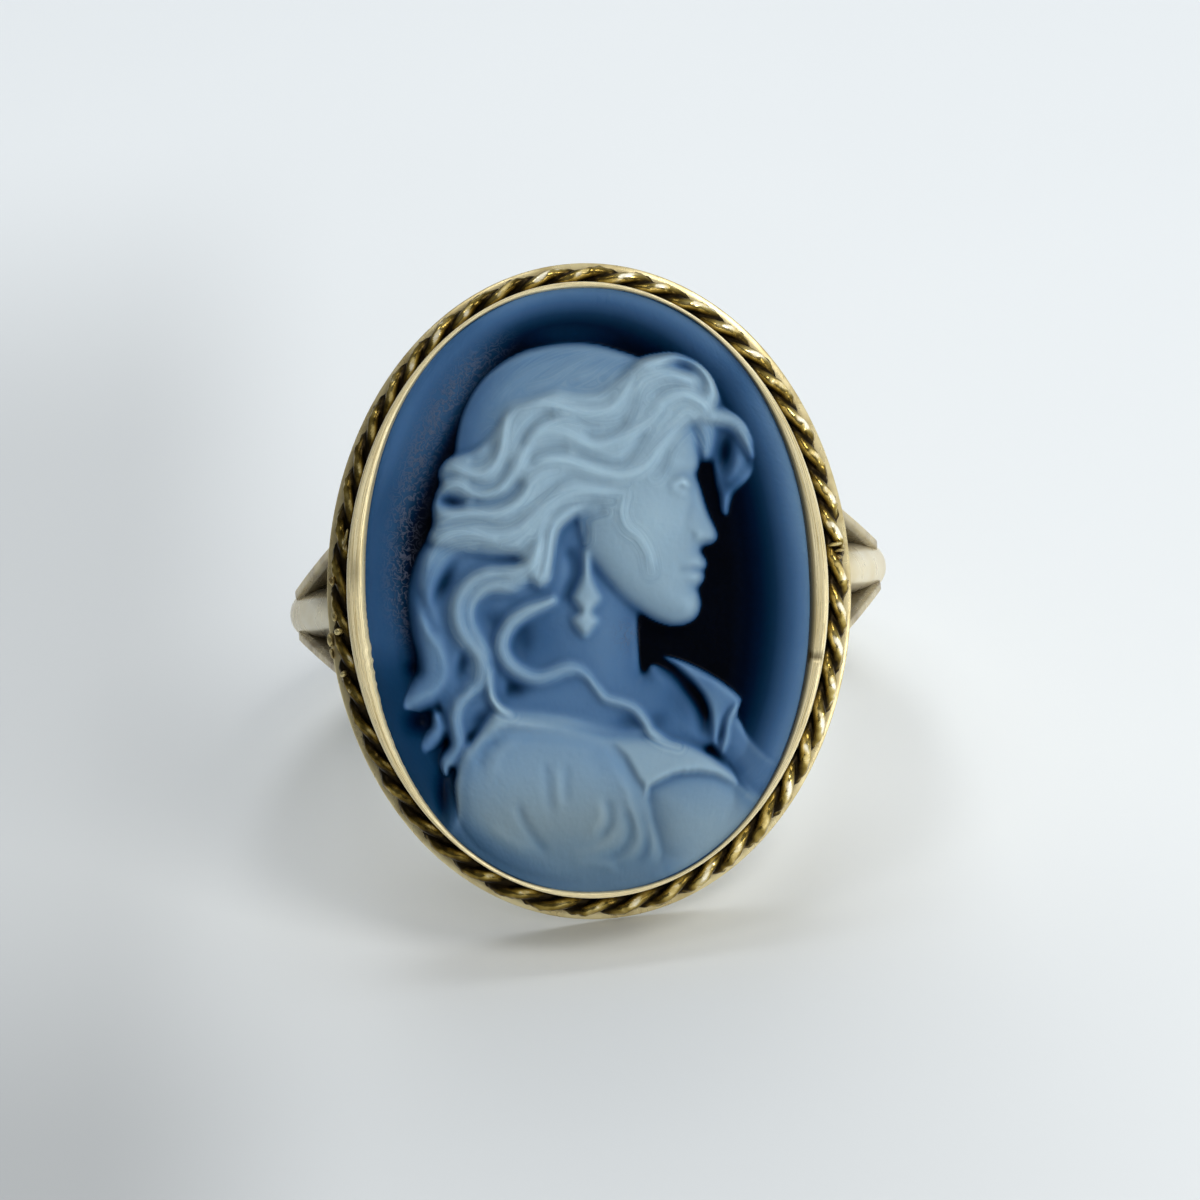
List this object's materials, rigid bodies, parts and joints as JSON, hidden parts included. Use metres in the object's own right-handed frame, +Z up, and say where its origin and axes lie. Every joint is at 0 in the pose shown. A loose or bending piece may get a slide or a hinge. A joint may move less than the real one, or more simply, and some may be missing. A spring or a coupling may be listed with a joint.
{
  "type": "cameo ring",
  "caption": "Finger ring with a large oval carved cameo of a lady's bust in a bezel, a twisted-wire border, and shoulders split into a tongue between side rails.",
  "frame": {"origin": "on the floor, under the middle of the ring's bounding box as it lies on its side", "axes": "+Z up, -Y towards the viewer that the cameo faces, +X to the viewer's right; the finger hole's axis leans back 28 degrees from +Z towards +Y and 2 degrees towards +X, as the ring comes to rest"},
  "size_m": [0.0206, 0.0248, 0.02],
  "materials": {
    "yellow_gold": "polished, worn and tarnished in the hollows",
    "banded_agate": "carved and softly polished"
  },
  "bodies": {
    "root": {"gold_mount": "yellow_gold", "cameo_stone": "banded_agate"}
  },
  "joints": []
}
